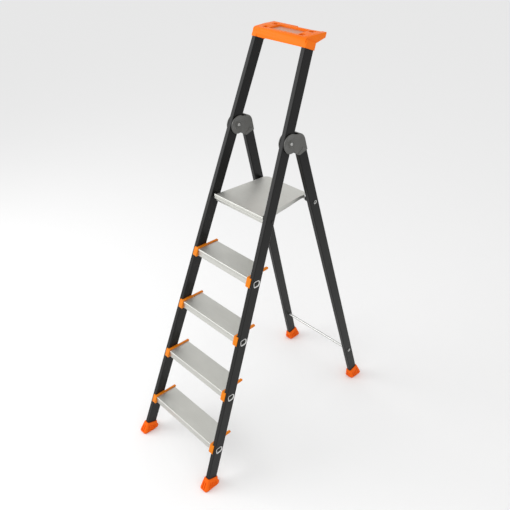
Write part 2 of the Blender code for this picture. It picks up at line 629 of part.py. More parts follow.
rest_y, rest_z = leg_line(REST_D, REST_U)
for side, label in SIDES:
    build_stile(side, "front_stile_" + label, black, front)
    build_front_foot(side, "front_foot_" + label, orange, front)
    for index, z in enumerate(TREAD_Z, 1):
        build_cap(index, z, side, label, orange, front)
    build_rivet(side, "hinge_rivet_" + label, HINGE_Y, HINGE_Z, 7.0, 2.4, steel, front)
    build_deck_pin(side, "platform_pin_" + label, plastic, front)
    build_bush(side, "platform_bush_" + label, DECK_PIN_Y, DECK_PIN_Z, deck_half(DECK_PIN_Y) + 0.6,
               stile_x(DECK_PIN_Y, DECK_PIN_Z, STILE_W) - 0.9, PIN_R + 0.3, BUSH_R, plastic, front)
    build_leg(side, "rear_leg_" + label, black, rear)
    build_rear_foot(side, "rear_foot_" + label, orange, rear)
    build_cheek(side, False, "joint_cover_outer_" + label, grey, rear)
    build_cheek(side, True, "joint_cover_inner_" + label, grey, rear)
    build_rivet(side, "cover_rivet_" + label, *leg_line(0.0, COVER_RIVET_U), 5.0, 1.4, grey, rear)
    build_bush(side, "rest_sleeve_" + label, rest_y, rest_z, DECK_HALF_R + 2.2,
               leg_x(rest_y, rest_z, LEG_W) - 0.9, CROSS_R + 0.3, SLEEVE_R, plastic, rear)

for index, z in enumerate(TREAD_Z, 1):
    build_tread(index, z, silver, front)
build_tray(orange, front)
build_insert(magnet, front)
build_cross_tube("platform_rest_tube", REST_U, REST_D, bright, rear)
build_cross_tube("rear_brace_tube", BRACE_U, 0.0, bright, rear)
build_deck(silver, deck)
build_nose(silver, deck)
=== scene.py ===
"""Looks of a folding platform step ladder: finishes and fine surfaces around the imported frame."""
import json
import math

import bmesh
import bpy
from bpy.props import FloatProperty, FloatVectorProperty, PointerProperty
from mathutils import Matrix, Vector


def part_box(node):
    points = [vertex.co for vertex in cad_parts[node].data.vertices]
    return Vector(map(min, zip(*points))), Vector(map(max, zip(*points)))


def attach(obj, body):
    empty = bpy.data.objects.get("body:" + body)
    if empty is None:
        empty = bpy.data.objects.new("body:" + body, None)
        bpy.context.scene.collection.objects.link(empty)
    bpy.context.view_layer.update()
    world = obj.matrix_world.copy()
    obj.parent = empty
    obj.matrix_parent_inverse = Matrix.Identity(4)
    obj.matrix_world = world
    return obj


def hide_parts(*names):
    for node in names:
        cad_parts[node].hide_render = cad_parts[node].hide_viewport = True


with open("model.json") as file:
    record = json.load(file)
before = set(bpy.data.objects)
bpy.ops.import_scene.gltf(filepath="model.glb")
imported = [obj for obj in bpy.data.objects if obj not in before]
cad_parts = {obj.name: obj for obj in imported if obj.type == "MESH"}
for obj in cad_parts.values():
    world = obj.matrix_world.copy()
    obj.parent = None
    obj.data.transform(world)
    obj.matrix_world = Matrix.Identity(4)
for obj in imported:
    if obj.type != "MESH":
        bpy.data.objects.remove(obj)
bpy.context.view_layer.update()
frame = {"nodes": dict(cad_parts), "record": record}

bl_info = {
    "name": "Step Ladder Looks",
    "version": (1, 0, 0),
    "blender": (4, 5, 0),
    "location": "View3D > Sidebar > Ladder",
    "description": "Builds the finishes and fine surfaces of a folding platform step ladder",
    "category": "Object",
}

# Millimetres and degrees, in the ladder's own frame.  y here is measured back from the line where
# the stiles' front faces would meet the floor, as the frame's own pieces are laid out.
MM = 0.001
FOOTPRINT_MIDDLE = 533.66
SIDES = ((-1, "left"), (1, "right"))
TREADS = (1, 2, 3, 4)
TILT, HALF_FLOOR, TAPER = math.radians(20.02), 235.9, math.tan(math.radians(3.06))
STILE_W, STILE_D = 20.4, 48.4
SPLAY, LEG_BASE_Y, LEG_HALF_FLOOR = math.radians(16.81), 1039.7, 232.0
LEG_TAPER = math.tan(math.radians(2.95))
LEG_W, LEG_D = 20.4, 46.4
SIN_T, COS_T = math.sin(TILT), math.cos(TILT)
SIN_S, COS_S = math.sin(SPLAY), math.cos(SPLAY)
LEG_LEVEL_HALF = LEG_HALF_FLOOR - LEG_TAPER * LEG_BASE_Y * SIN_S

# treads: t runs back from the stile's front face, h up from the tread's top
TREAD_FRONT, TREAD_BACK = -1.9, 102.0
BOX_BACK, BOX_LOW, PLATE_T, REAR_LIP = 36.0, -35.5, 3.0, 10.0
TREAD_END = 6.4
TUBE = (4.0, 32.6, -34.0, -11.0)    # D-shaped tube through the stile: t0, t1, h0, h1
TUBE_ROUND = (6.0, 10.0, 9.0, 6.0)  # its corner radii, from the front low corner round
TUBE_WALL, FLANGE = 1.6, 2.8
COVER_R1, COVER_R2, COVER_C2, COVER_END = 38.0, 46.0, (27.0, -20.0), -66.7
COVER_GAP, CHEEK_T = 1.5, 4.2
RIM_W, DISH_SLOPE, DISH_DEEP = 3.0, 1.4, 1.1    # a cheek's flat rim, and the dish inside it
STRAP_LOW, STRAP_HIGH = COVER_END + 1.5, COVER_END + 13.0
BOSS = ((-1.4, 14.5), (-0.2, 14.2), (0.5, 13.2), (0.6, 11.6), (0.4, 10.4), (-0.5, 9.6),
        (-1.4, 9.4))    # ring round the pivot: height above the cheek, radius


def joint_place(name):
    """(y, z) in millimetres of a joint's axis, y measured as the outlines measure it."""
    for joint in frame["record"]["behaviour"]["joints"]:
        if joint["name"] == name:
            _, y, z = joint["pos_m"]
            return y / MM + FOOTPRINT_MIDDLE, z / MM
    raise RuntimeError("the frame has no joint " + name)


# ---------------------------------------------------------------- colours and sizes
def linear(hex_colour):
    """sRGB hex to linear red, green and blue."""
    value = hex_colour.lstrip("#")
    out = []
    for k in (0, 2, 4):
        c = int(value[k:k + 2], 16) / 255.0
        out.append(c / 12.92 if c <= 0.04045 else ((c + 0.055) / 1.055) ** 2.4)
    return tuple(out)


def colour(name, description, hex_colour):
    return FloatVectorProperty(name=name, description=description, subtype="COLOR", size=3,
                               min=0.0, max=1.0, default=linear(hex_colour))


def length(name, description, millimetres):
    return FloatProperty(name=name, description=description, unit="LENGTH", min=0.0,
                         default=millimetres * MM)


class LadderColours(bpy.types.PropertyGroup):
    """Base colours of the ladder's finishes."""
    moulding: colour("Moulding", "Orange plastic of the tray", "#ed7212")
    cap: colour("Tread cap", "Yellower orange plastic of the tread caps", "#d97a18")
    foot: colour("Foot", "Redder orange elastomer of the feet", "#e8600d")
    anodised: colour("Anodised tube", "Black skin of the stiles and legs", "#0b0b0b")
    # Paler tone painted low down on the black tubes: a painted sheen, broken into blotches.
    low_painted_sheen: colour("Painted sheen tube", "Paler tone of the tubes where feet scuff them", "#1c1c1b")
    sheet: colour("Sheet", "Satin aluminium of the treads and platform", "#cbcbc6")
    tube: colour("Tube", "Bright aluminium of the cross tubes and flared ends", "#dadad8")
    cover: colour("Joint cover", "Grey plastic of the joint covers", "#52524f")
    trim: colour("Black trim", "Black plastic of the bushes and pins", "#0e0e0e")
    # The insert's orange tint is a painted reflection of the tray's plastic around it.
    insert: colour("Tray insert", "Dull plated strip in the tray", "#c0866a")


class LadderSizes(bpy.types.PropertyGroup):
    """Sizes of the fine surfaces."""
    moulded_round: length("Moulded edge", "Radius on the edges of moulded pieces", 1.2)
    pressed_round: length("Pressed edge", "Radius on the edges of pressed sheet", 1.0)
    tread_pitch: length("Tread rib pitch", "Distance between the fine ribs on a tread", 6.0)
    tread_rib: length("Tread rib height", "Height of the fine ribs on a tread", 0.2)
    foot_slot: length("Foot slot pitch", "Distance between the slots moulded in a foot", 11.0)


def sizes():
    return bpy.context.scene.ladder_sizes


def colours():
    return bpy.context.scene.ladder_colours


# ---------------------------------------------------------------- materials
NOISE_LOW, NOISE_HIGH = 0.25, 0.75    # where nearly all of a noise pattern's values lie
# Heights of the painted sheen on the black tubes: none above the first, full below the second.
SHEEN_NONE_ABOVE, SHEEN_FULL_BELOW = 1.45, 0.9    # metres above the floor


def add(tree, kind, inputs=None, **settings):
    """One node with its settings; an input is a value or another node's output."""
    node = tree.nodes.new(kind)
    for key, value in settings.items():
        setattr(node, key, value)
    for key, value in (inputs or {}).items():
        if isinstance(value, bpy.types.NodeSocket):
            tree.links.new(value, node.inputs[key])
        else:
            node.inputs[key].default_value = value
    return node


def start_material(name, base, **shader):
    """A material, its tree and its shader; what is the same all over goes on the shader's sockets."""
    mat = bpy.data.materials.new(name)
    mat.use_nodes = True
    mat.diffuse_color = (*base, 1.0)
    bsdf = mat.node_tree.nodes["Principled BSDF"]
    bsdf.inputs["Base Color"].default_value = (*base, 1.0)
    for key, value in shader.items():
        bsdf.inputs[key.replace("_", " ")].default_value = value
    return mat, mat.node_tree, bsdf


# Real draw lines, mould grain and glass fibres are well under a millimetre wide.  They are drawn 1.2 to
# 3.2 mm wide below, as coarse as they need to be to show.
def pattern(tree, size_mm, turn=0.0, detail=3.0):
    """Noise with this feature size in millimetres along each axis, turned about X."""
    coords = add(tree, "ShaderNodeTexCoord")
    turned = add(tree, "ShaderNodeMapping", {"Vector": coords.outputs["Object"],
                                              "Rotation": (turn, 0.0, 0.0)})
    scaled = add(tree, "ShaderNodeMapping", {"Vector": turned.outputs["Vector"],
                                              "Scale": tuple(1.0 / (s * MM) for s in size_mm)})
    return add(tree, "ShaderNodeTexNoise", {"Vector": scaled.outputs["Vector"], "Scale": 1.0,
                                             "Detail": detail}).outputs["Fac"]


def shade(base, k):
    return tuple(min(1.0, c * k) for c in base)


def lead(surface, rough=None, tone=None, relief=None):
    """Let patterns lead a surface: rough is (pattern, least, most), tone is (factor, one colour,
    other colour) and relief is (pattern, depth in millimetres).  Returns the material."""
    mat, tree, bsdf = surface
    if rough:
        by, least, most = rough
        span = add(tree, "ShaderNodeMapRange", {"Value": by, "From Min": NOISE_LOW, "From Max": NOISE_HIGH,
                                                 "To Min": least, "To Max": most})
        tree.links.new(span.outputs["Result"], bsdf.inputs["Roughness"])
    if tone:
        by, one, other = tone
        mix = add(tree, "ShaderNodeMix", {"Factor": by}, data_type="RGBA")
        mix.inputs["A"].default_value = (*one, 1.0)
        mix.inputs["B"].default_value = (*other, 1.0)
        tree.links.new(mix.outputs["Result"], bsdf.inputs["Base Color"])
    if relief:
        by, depth = relief
        node = add(tree, "ShaderNodeBump", {"Height": by, "Strength": 1.0, "Distance": depth * MM})
        tree.links.new(node.outputs["Normal"], bsdf.inputs["Normal"])
    return mat


def black_anodised(name, lean):
    """Extruded tube, black anodised: fine draw lines along its length, and a painted sheen that makes it
    paler low down, broken into random blotches.
    """
    dark, low_painted_sheen = tuple(colours().anodised), tuple(colours().low_painted_sheen)
    surface = start_material(name, dark, Roughness=0.33, Specular_IOR_Level=0.2)
    tree = surface[1]
    lines = pattern(tree, (1.6, 1.6, 260.0), lean, 4.0)
    patch = pattern(tree, (34.0, 34.0, 90.0), lean, 5.0)
    coords = add(tree, "ShaderNodeTexCoord")
    height = add(tree, "ShaderNodeSeparateXYZ", {"Vector": coords.outputs["Object"]}).outputs["Z"]
    # Painted sheen: the black skin is made paler towards the floor, broken up by random blotches.
    painted_sheen_ramp = add(tree, "ShaderNodeMapRange", {"Value": height, "From Min": SHEEN_NONE_ABOVE, "From Max": SHEEN_FULL_BELOW,
                                              "To Min": 0.0, "To Max": 1.0}).outputs["Result"]
    blotch = add(tree, "ShaderNodeMapRange", {"Value": patch, "From Min": NOISE_LOW, "From Max": NOISE_HIGH,
                                               "To Min": 0.65, "To Max": 1.0}).outputs["Result"]
    blotched_painted_sheen = add(tree, "ShaderNodeMath", {0: painted_sheen_ramp, 1: blotch}, operation="MULTIPLY").outputs["Value"]
    return lead(surface, (lines, 0.26, 0.40), (blotched_painted_sheen, dark, low_painted_sheen), (lines, 0.05))


def rolled_sheet():
    """Sheet with a satin rolled face: faint streaks along the rolling direction, across the ladder."""
    base = tuple(colours().sheet)
    surface = start_material("satin_rolled_aluminium", base, Metallic=1.0, Roughness=0.52)
    streak = pattern(surface[1], (150.0, 1.8, 1.8), detail=4.0)
    cloud = pattern(surface[1], (70.0, 50.0, 70.0))
    return lead(surface, (streak, 0.46, 0.60), (cloud, shade(base, 0.93), shade(base, 1.04)), (streak, 0.03))


def drawn_tube(name, painted_shade_factor):
    """Drawn tube: long draw lines that stretch the highlights; its colour is the tube colour scaled by a
    factor, below one as painted shade.
    """
    base = shade(tuple(colours().tube), painted_shade_factor)
    surface = start_material(name, base, Metallic=1.0, Roughness=0.28)
    lines = pattern(surface[1], (120.0, 1.2, 1.2))
    return lead(surface, (lines, 0.20, 0.36), relief=(lines, 0.02))


def bore_painted_shade():
    """Inside of a cut tube: raw, grey and rough from the saw, and a darker grey than the tube's outside as
    painted shade in its mouth; it also colours the plug that closes the bore.
    """
    surface = start_material("sawn_aluminium_bore", linear("#90908c"), Metallic=1.0, Roughness=0.6)
    saw = pattern(surface[1], (2.0, 2.0, 2.0), detail=4.0)
    return lead(surface, (saw, 0.50, 0.72), relief=(saw, 0.05))


def orange_moulding(name, base, rough):
    """Injection-moulded plastic: soft sheen, spark-eroded grain, slight flow mottling."""
    surface = start_material(name, base, Roughness=rough, Specular_IOR_Level=0.1)
    fine = pattern(surface[1], (1.4, 1.4, 1.4))
    flow = pattern(surface[1], (42.0, 42.0, 42.0))
    return lead(surface, (flow, rough - 0.06, rough + 0.08), (flow, shade(base, 0.92), shade(base, 1.03)),
                (fine, 0.06))


def grey_moulding():
    """Glass-filled nylon: satin, with a fine cloudy fibre pattern and rubbed, paler high spots."""
    base = tuple(colours().cover)
    surface = start_material("grey_glass_filled_nylon", base, Roughness=0.3, Specular_IOR_Level=0.5)
    fibre = pattern(surface[1], (3.2, 3.2, 3.2), detail=5.0)
    cloud = pattern(surface[1], (22.0, 22.0, 22.0))
    return lead(surface, (fibre, 0.24, 0.38), (cloud, shade(base, 0.82), shade(base, 1.2)), (fibre, 0.05))


def black_trim():
    """Acetal bushes and pins: smooth and slightly waxy."""
    surface = start_material("black_acetal", tuple(colours().trim), Roughness=0.4, Specular_IOR_Level=0.4)
    wax = pattern(surface[1], (5.0, 5.0, 5.0))
    return lead(surface, (wax, 0.34, 0.5), relief=(wax, 0.03))


def zinc_steel():
    """Zinc-plated rivets: cool grey with the plating's cloudy spangle."""
    base = linear("#b8b8b6")
    surface = start_material("zinc_plated_steel", base, Metallic=1.0, Roughness=0.34)
    spangle = pattern(surface[1], (2.4, 2.4, 2.4), detail=4.0)
    return lead(surface, (spangle, 0.26, 0.44), (spangle, shade(base, 0.75), base))


def strip_with_painted_reflection():
    """Plated holding strip, tinted orange by a painted reflection of the plastic around it, scratched by
    bits.
    """
    base = tuple(colours().insert)
    surface = start_material("dull_plated_magnet_strip", base, Metallic=0.2, Roughness=0.42)
    scratch = pattern(surface[1], (26.0, 1.6, 26.0), detail=5.0)
    return lead(surface, (scratch, 0.32, 0.54), (scratch, shade(base, 0.85), shade(base, 1.12)),
                (scratch, 0.04))


MAKERS = {
    "stile": lambda: black_anodised("black_anodised_stile", TILT),
    "leg": lambda: black_anodised("black_anodised_leg", -SPLAY),
    "sheet": rolled_sheet,
    "flare": lambda: drawn_tube("bright_flared_aluminium", 1.0),
    # The cross tubes get the tube colour at 0.72: painted shade on the same metal as the flared ends.
    "tube": lambda: drawn_tube("drawn_aluminium_tube_painted_shade", 0.72),
    "bore": bore_painted_shade,
    "orange": lambda: orange_moulding("orange_moulded_polypropylene", tuple(colours().moulding), 0.46),
    "cap": lambda: orange_moulding("orange_moulded_polyamide", tuple(colours().cap), 0.42),
    "foot": lambda: orange_moulding("orange_moulded_elastomer", tuple(colours().foot), 0.58),
    "grey": grey_moulding,
    "trim": black_trim,
    "zinc": zinc_steel,
    "insert": strip_with_painted_reflection,
}
MADE = {}


def finish(kind):
    if kind not in MADE:
        MADE[kind] = MAKERS[kind]()
    return MADE[kind]


def dress(node, kind):
    """Give a frame node its finish."""
    for slot in frame["nodes"][node].material_slots:
        slot.material = finish(kind)


# ---------------------------------------------------------------- places
def place(first, second, third, origin):
    """Matrix that sends a piece's own axes (millimetres) to these directions in the ladder."""
    cols = [Vector(v) * MM for v in (first, second, third)]
    base = Vector((origin[0], origin[1] - FOOTPRINT_MIDDLE, origin[2])) * MM
    rows = [[c[k] for c in cols] + [base[k]] for k in range(3)]
    return Matrix(rows + [[0, 0, 0, 1]])


def level_stile(side, y=0.0, z=0.0):
    """(y, z, inset): level outlines, their thickness inwards from the stile's outer face."""
    x = HALF_FLOOR - TAPER * (y * SIN_T + z * COS_T)
    return place((-side * TAPER * SIN_T, 1, 0), (-side * TAPER * COS_T, 0, 1), (-side, 0, 0),
                 (side * x, y, z))


def level_leg(side, y=0.0, z=0.0):
    x = LEG_LEVEL_HALF + LEG_TAPER * (y * SIN_S - z * COS_S)
    return place((side * LEG_TAPER * SIN_S, 1, 0), (-side * LEG_TAPER * COS_S, 0, 1), (-side, 0, 0),
                 (side * x, y, z))


def along_stile(side):
    return place((-side, 0, 0), (0, COS_T, -SIN_T), (-side * TAPER, SIN_T, COS_T),
                 (side * HALF_FLOOR, 0, 0))


def along_leg(side):
    return place((-side, 0, 0), (0, COS_S, SIN_S), (-side * LEG_TAPER, -SIN_S, COS_S),
                 (side * LEG_HALF_FLOOR, LEG_BASE_Y, 0))


def crosswise(y=0.0, z=0.0):
    return place((0, 1, 0), (0, 0, 1), (1, 0, 0), (0, y, z))


def front_y(z):
    return z * SIN_T / COS_T


def tread_top(index):
    """Height of a tread's top in millimetres."""
    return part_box("tread_%d" % index)[1][2] / MM


# ---------------------------------------------------------------- shapes
def arc(ca, cb, r, start, stop, steps):
    turn = [math.radians(start + (stop - start) * k / steps) for k in range(steps + 1)]
    return [(ca + r * math.cos(t), cb + r * math.sin(t)) for t in turn]


def rounded(a0, a1, b0, b1, radii, steps=5):
    r0, r1, r2, r3 = radii
    return (arc(a0 + r0, b0 + r0, r0, 180, 270, steps) + arc(a1 - r1, b0 + r1, r1, 270, 360, steps)
            + arc(a1 - r2, b1 - r2, r2, 0, 90, steps) + arc(a0 + r3, b1 - r3, r3, 90, 180, steps))


def slab(outline, start, stop):
    """Outline face extruded from start to stop along the third axis."""
    bm = bmesh.new()
    face = bm.faces.new([bm.verts.new((a, b, start)) for a, b in outline])
    grown = bmesh.ops.extrude_face_region(bm, geom=[face])
    moved = [v for v in grown["geom"] if isinstance(v, bmesh.types.BMVert)]
    bmesh.ops.translate(bm, verts=moved, vec=(0, 0, stop - start))
    bmesh.ops.recalc_face_normals(bm, faces=bm.faces)
    return bm


def end_face(bm, level):
    """The face lying at this level of the third axis."""
    return [f for f in bm.faces if all(abs(v.co.z - level) < 1e-4 for v in f.verts)][0]


def mesh_of(bm, name):
    bmesh.ops.remove_doubles(bm, verts=bm.verts, dist=1e-6)
    bmesh.ops.recalc_face_normals(bm, faces=bm.faces)
    mesh = bpy.data.meshes.new(name)
    bm.to_mesh(mesh)
    bm.free()
    return mesh


def add_piece(name, bm, kind, body, nodes=(), where=None, edge=0.0, smooth=40.0, segments=3):
    """Finished piece: placed, smoothed, edges rounded by `edge` metres, riding on its body."""
    if where is not None:
        bm.transform(where)
    mesh = mesh_of(bm, name)
    mesh.shade_smooth()
    obj = bpy.data.objects.new(name, mesh)
    bpy.context.scene.collection.objects.link(obj)
    mesh.materials.append(finish(kind))
    if edge:
        mod = obj.modifiers.new("rounded_edges", "BEVEL")
        mod.width, mod.segments, mod.limit_method = edge, segments, "ANGLE"
        mod.angle_limit, mod.harden_normals = math.radians(smooth), True
        mod.miter_outer = "MITER_ARC"
    else:
        mesh.set_sharp_from_angle(angle=math.radians(smooth))
    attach(obj, body)
    if nodes:
        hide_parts(*nodes)
    return obj


def merged_copy(node):
    """A frame node's shape with its doubles merged and its flat faces made whole."""
    bm = bmesh.new()
    bm.from_mesh(frame["nodes"][node].data)
    bmesh.ops.remove_doubles(bm, verts=bm.verts, dist=1e-6)
    bmesh.ops.dissolve_limit(bm, angle_limit=math.radians(0.5), verts=bm.verts, edges=bm.edges)
    return bm


def cut_away(bm, cutters):
    """Exact Boolean difference of a bmesh and a bmesh of cutters, both in metres."""
    objects = []
    for label, part in (("base", bm), ("cutters", cutters)):
        obj = bpy.data.objects.new(label, mesh_of(part, label))
        bpy.context.scene.collection.objects.link(obj)
        objects.append(obj)
    base, tool = objects
    mod = base.modifiers.new("cut", "BOOLEAN")
    mod.operation, mod.solver, mod.object = "DIFFERENCE", "EXACT", tool
    graph = bpy.context.evaluated_depsgraph_get()
    graph.update()
    result = bpy.data.meshes.new_from_object(base.evaluated_get(graph))
    for obj in objects:
        bpy.data.objects.remove(obj)
    out = bmesh.new()
    out.from_mesh(result)
    bpy.data.meshes.remove(result)
    return out


def spun_ring(rows, steps=40):
    """Closed profile of (height, radius) rows spun about the third axis."""
    bm = bmesh.new()
    verts = [bm.verts.new((r, 0.0, x)) for x, r in rows]
    edges = [bm.edges.new((verts[k - 1], verts[k])) for k in range(len(verts))]
    bmesh.ops.spin(bm, geom=verts + edges, cent=(0, 0, 0), axis=(0, 0, 1), angle=2 * math.pi,
                   steps=steps, use_merge=True, use_duplicate=False)
    bmesh.ops.remove_doubles(bm, verts=bm.verts, dist=1e-4)
    return bm


def join(*parts):
    """Several bmeshes in one."""
    out = bmesh.new()
    for part in parts:
        mesh = bpy.data.meshes.new("joined")
        part.to_mesh(mesh)
        part.free()
        out.from_mesh(mesh)
        bpy.data.meshes.remove(mesh)
    return out


# ---------------------------------------------------------------- treads
PANEL_SET, GROOVE_SET = 0.5, 1.7            # how far the front panel and the groove lie behind the lip
LOW_ROUND, LIP_ROUND, BACK_ROUND, BOX_ROUND = 3.0, 2.6, 2.0, 14.0
PLAIN_MARGIN = 8.0                          # unribbed band at a tread's front and back
RIB_SLOPE, RIB_FLAT = 0.7, 1.0


def nose_front(t0, low, lip, groove):
    """Front edge of a tread or nosing, from its foot up: panel, groove, then the rounded lip."""
    panel, groove_floor = t0 + PANEL_SET, t0 + GROOVE_SET
    pts = arc(t0 + LOW_ROUND, low + LOW_ROUND, LOW_ROUND, 180, 270, 4)[::-1]
    pts += [(panel, low + 2 * LOW_ROUND), (panel, -lip - groove), (groove_floor, -lip - groove + 0.3),
            (groove_floor, -lip - 0.2), (t0, -lip + 0.6)]
    return pts + arc(t0 + LIP_ROUND, -LIP_ROUND, LIP_ROUND, 180, 90, 6)


def tread_outline():
    """Side view of a tread, with fine ribs running along its top."""
    pitch, rib = sizes().tread_pitch / MM, sizes().tread_rib / MM
    pts = nose_front(TREAD_FRONT, BOX_LOW, 9.0, 1.4)
    t = TREAD_FRONT + PLAIN_MARGIN
    while t < TREAD_BACK - PLAIN_MARGIN:
        valley = t + RIB_SLOPE
        pts += [(t, 0.0), (valley, -rib), (valley + RIB_FLAT, -rib), (valley + RIB_FLAT + RIB_SLOPE, 0.0)]
        t += pitch
    pts += arc(TREAD_BACK - BACK_ROUND, -BACK_ROUND, BACK_ROUND, 90, 0, 4)
    pts += [(TREAD_BACK, -REAR_LIP), (TREAD_BACK - 3, -REAR_LIP), (TREAD_BACK - 3, -PLATE_T),
            (BOX_BACK, -PLATE_T)]
    return pts + arc(BOX_BACK - BOX_ROUND, BOX_LOW + BOX_ROUND, BOX_ROUND, 0, -90, 6)


def shifted(outline, dy, dz):
    return [(t + dy, h + dz) for t, h in outline]


def between_stiles(outline, z, inset):
    """Bar across the ladder at height z, cut to the plane `inset` inside the stiles' outer faces."""
    bm = slab(shifted(outline, front_y(z), z), -HALF_FLOOR, HALF_FLOOR)
    bm.transform(crosswise())
    for side, _ in SIDES:
        geom = bm.verts[:] + bm.edges[:] + bm.faces[:]
        cut = bmesh.ops.bisect_plane(bm, geom=geom, clear_outer=True,
                                     plane_co=(side * (HALF_FLOOR - inset) * MM, -FOOTPRINT_MIDDLE * MM, 0),
                                     plane_no=(side, TAPER * SIN_T, TAPER * COS_T))
        rim = [e for e in cut["geom_cut"] if isinstance(e, bmesh.types.BMEdge)]
        bmesh.ops.contextual_create(bm, geom=rim)
    return bm


def tube_outline(grow):
    t0, t1, h0, h1 = TUBE
    radii = tuple(r + grow for r in TUBE_ROUND)
    return rounded(t0 - grow, t1 + grow, h0 - grow, h1 + grow, radii, 6)


def tube_rings(rows, y, z):
    """Closed sleeve wall grown from one D-shaped ring to the next, each an (inset, growth) row."""
    bm = bmesh.new()
    inset, grow = rows[0]
    ring = [bm.verts.new((a, b, inset)) for a, b in shifted(tube_outline(grow), y, z)]
    edges = [bm.edges.new((ring[k - 1], ring[k])) for k in range(len(ring))]
    for inset, grow in rows[1:] + rows[:1]:
        outline = shifted(tube_outline(grow), y, z)
        order = {vert: k for k, vert in enumerate(ring)}
        grown = bmesh.ops.extrude_edge_only(bm, edges=edges)["geom"]
        fresh = [v for v in grown if isinstance(v, bmesh.types.BMVert)]
        edges = [e for e in grown if isinstance(e, bmesh.types.BMEdge)]
        ring = [None] * len(outline)
        for vert in fresh:
            k = next(order[e.other_vert(vert)] for e in vert.link_edges if e.other_vert(vert) in order)
            ring[k] = vert
            vert.co = (*outline[k], inset)
    return bm


def build_tread(index):
    z = tread_top(index)
    node = "tread_%d" % index
    body = between_stiles(tread_outline(), z, STILE_W + TREAD_END)
    add_piece(node + "_board", body, "sheet", "front_frame", (node,), smooth=28.0)
    y, wall, deep = front_y(z), TUBE_WALL, STILE_W + TREAD_END + 1.0
    rim = [(deep, 0.0), (-0.35, 0.0), (-0.35, FLANGE - 0.4), (-0.6, FLANGE), (-1.1, FLANGE),
           (-1.6, FLANGE - 0.7), (-1.65, FLANGE - 1.6), (-1.2, 0.4 - wall / 2), (-0.2, 0.2 - wall),
           (deep, 0.2 - wall)]
    bore = [(0.3, -wall), (deep - 2, -wall), (deep - 2, -wall - 0.4), (0.6, -wall - 0.4)]
    for side, label in SIDES:
        where = level_stile(side)
        add_piece("%s_flared_end_%s" % (node, label), tube_rings(rim, y, z), "flare", "front_frame",
                  where=where, smooth=50.0)
        inside = tube_rings(bore, y, z)
        # A plug a little way in closes the bore: a sheet standing in for the shade deeper inside the tube.
        shade_plug = slab(shifted(tube_outline(-wall - 0.6), y, z), deep - 3.0, deep - 2.2)
        add_piece("%s_bore_%s" % (node, label), join(inside, shade_plug), "bore", "front_frame",
                  where=where, smooth=50.0)


# ---------------------------------------------------------------- platform
def build_platform():
    top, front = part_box("platform_nosing")[1][2] / MM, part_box("platform_nosing")[0][1] / MM
    front += FOOTPRINT_MIDDLE
    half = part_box("platform_nosing")[1][0] / MM
    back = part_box("platform_nosing")[1][1] / MM + FOOTPRINT_MIDDLE
    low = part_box("platform_nosing")[0][2] / MM - top
    outline = nose_front(0.0, low, 11.0, 1.6) + [(back - front, 0.0), (back - front, low)]
    bm = slab(shifted(outline, front, top), -half, half)
    add_piece("platform_nosing_bar", bm, "sheet", "platform", ("platform_nosing",), crosswise(), smooth=28.0)
    add_piece("platform_pressing", merged_copy("platform_deck"), "sheet", "platform", ("platform_deck",),
              edge=sizes().pressed_round)


# ---------------------------------------------------------------- joint covers
def cover_outline():
    """Comma shape about the pivot, in axes behind and above it along the leg."""
    ca, cb = COVER_C2
    tangent = math.degrees(math.atan2(cb, ca) + math.acos((COVER_R2 - COVER_R1) / math.hypot(ca, cb)))
    pts = [(27.4, COVER_END), (ca + COVER_R2 - 0.6, COVER_END)]
    pts += arc(ca, cb, COVER_R2, 0, tangent, 14) + arc(0, 0, COVER_R1, tangent, 262, 34)
    return pts + [(5.2, -36.5), (9.9, -51.0)]


def about_pivot(outline):
    return [(a * COS_S - b * SIN_S, a * SIN_S + b * COS_S) for a, b in outline]


def build_cover(side, label):
    """Two domed cheeks: a rolled rim, a dished panel and a raised boss round the pivot."""
    y, z = joint_place("rear_frame_fold")
    edge = sizes().moulded_round
    for inner in (False, True):
        name = "joint_cover_%s_%s" % ("inner" if inner else "outer", label)
        face, away = (LEG_W + COVER_GAP, 1.0) if inner else (-COVER_GAP, -1.0)
        outside = face + away * CHEEK_T
        bm = slab(about_pivot(cover_outline()), face, outside)
        panel = end_face(bm, outside)
        for thickness, depth in ((RIM_W, 0.0), (DISH_SLOPE, -DISH_DEEP)):
            bmesh.ops.inset_region(bm, faces=[panel], thickness=thickness, depth=depth, use_even_offset=True)
        boss = spun_ring([(outside + away * height, radius) for height, radius in BOSS])
        r_out, r_in, ca, cb = COVER_R2 - 0.5, COVER_R2 - 3.5, *COVER_C2
        band = arc(ca, cb, r_out, 12, 64, 16) + arc(ca, cb, r_in, 64, 12, 16)
        rim = slab(about_pivot(band), LEG_W / 2 + away * 0.15, outside - away * 1.0)
        strap = slab(about_pivot([(29.0, STRAP_LOW), (70.0, STRAP_LOW), (71.0, STRAP_HIGH),
                                  (50.0, STRAP_HIGH + 4.0), (22.0, STRAP_HIGH)]),
                     outside - away * 1.0, outside + away * 0.4)
        where = level_leg(side, y, z)
        add_piece(name + "_shell", bm, "grey", "rear_frame", (name,), where, edge=edge)
        add_piece(name + "_rim", rim, "grey", "rear_frame", where=where, edge=edge * 0.3)
        add_piece(name + "_boss", boss, "grey", "rear_frame", where=where, smooth=60.0)
        add_piece(name + "_strap", strap, "grey", "rear_frame", where=where, edge=edge * 0.4)


# ---------------------------------------------------------------- feet
FLARE_LOW, FLARE_HIGH = 11.6, 7.0                   # a foot's reach past its tube, near floor and top
SLOT_LOW, SLOT_HIGH = 9.0, 41.0                     # above the floor, and along the tube
SLOT_DEEP, SLOT_HALF, SLOT_PAST = 3.6, 2.2, 4.0     # depth, half width, and how far the cutter stands out


